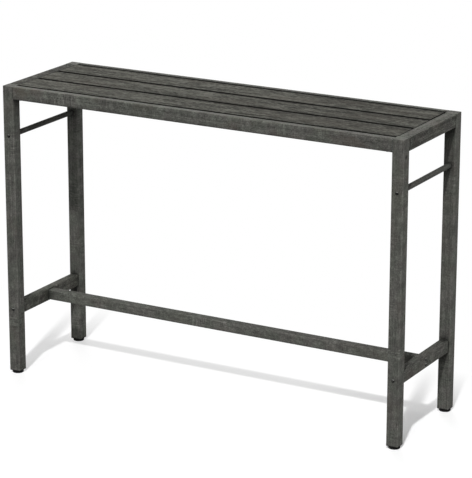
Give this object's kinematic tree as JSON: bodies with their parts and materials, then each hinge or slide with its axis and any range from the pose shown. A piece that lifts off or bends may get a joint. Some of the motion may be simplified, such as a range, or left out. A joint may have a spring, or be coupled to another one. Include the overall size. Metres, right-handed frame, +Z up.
{
  "type": "outdoor bar table",
  "caption": "Narrow bar-height patio table with a slatted top in a tube frame, side bars, low end rails joined by a foot rail, and levelling feet.",
  "frame": {"origin": "on the floor, under the middle of the top", "axes": "+X along the length, +Y from front to back, +Z up"},
  "size_m": [1.46, 0.4266, 1],
  "materials": {
    "frame_woodgrain": "satin grey wood-grain coating",
    "cap_woodgrain": "satin grey, matched to the frame",
    "slat_woodgrain": "satin grey embossed wood grain",
    "bar_coating": "satin dark grey coating",
    "bearer_coating": "dark grey powder coating",
    "bare_aluminium": "mill finish",
    "insert_nylon": "moulded nylon",
    "black_plastic": "moulded black plastic",
    "black_pad": "moulded black plastic",
    "black_bolt": "black oxide",
    "zinc_steel": "zinc plated"
  },
  "bodies": {
    "table": {"leg_front_left": "frame_woodgrain", "leg_cap_front_left": "cap_woodgrain", "foot_plug_front_left": "black_plastic", "leg_front_right": "frame_woodgrain", "leg_cap_front_right": "cap_woodgrain", "foot_plug_front_right": "black_plastic", "leg_back_left": "frame_woodgrain", "leg_cap_back_left": "cap_woodgrain", "foot_plug_back_left": "black_plastic", "leg_back_right": "frame_woodgrain", "leg_cap_back_right": "cap_woodgrain", "foot_plug_back_right": "black_plastic", "foot_nuts": "zinc_steel", "apron_front": "frame_woodgrain", "apron_back": "frame_woodgrain", "apron_left": "frame_woodgrain", "apron_right": "frame_woodgrain", "lower_rail_left": "frame_woodgrain", "lower_rail_right": "frame_woodgrain", "foot_rail": "frame_woodgrain", "side_bar_left": "bar_coating", "side_bar_right": "bar_coating", "slat_front": "slat_woodgrain", "slat_middle": "slat_woodgrain", "slat_back": "slat_woodgrain", "bearer_far_left": "bearer_coating", "bearer_left": "bearer_coating", "bearer_right": "bearer_coating", "bearer_far_right": "bearer_coating", "long_apron_stubs": "bare_aluminium", "end_apron_stubs": "bare_aluminium", "side_bar_plugs": "insert_nylon", "lower_rail_plugs": "insert_nylon", "foot_rail_plugs": "insert_nylon", "side_bar_bolts": "black_bolt", "lower_rail_bolts": "black_bolt", "foot_rail_bolts": "black_bolt", "apron_screws": "zinc_steel", "bearer_screws": "zinc_steel", "slat_screws": "zinc_steel"},
    "foot_front_left": {"foot_stud_front_left": "zinc_steel", "foot_pad_front_left": "black_pad"},
    "foot_front_right": {"foot_stud_front_right": "zinc_steel", "foot_pad_front_right": "black_pad"},
    "foot_back_left": {"foot_stud_back_left": "zinc_steel", "foot_pad_back_left": "black_pad"},
    "foot_back_right": {"foot_stud_back_right": "zinc_steel", "foot_pad_back_right": "black_pad"}
  },
  "joints": [
    {"name": "level_front_left", "type": "slide", "parent": "table", "child": "foot_front_left", "axis": [0, 0, -1], "range_m": [0, 0.012]},
    {"name": "level_front_right", "type": "slide", "parent": "table", "child": "foot_front_right", "axis": [0, 0, -1], "range_m": [0, 0.012]},
    {"name": "level_back_left", "type": "slide", "parent": "table", "child": "foot_back_left", "axis": [0, 0, -1], "range_m": [0, 0.012]},
    {"name": "level_back_right", "type": "slide", "parent": "table", "child": "foot_back_right", "axis": [0, 0, -1], "range_m": [0, 0.012]}
  ]
}
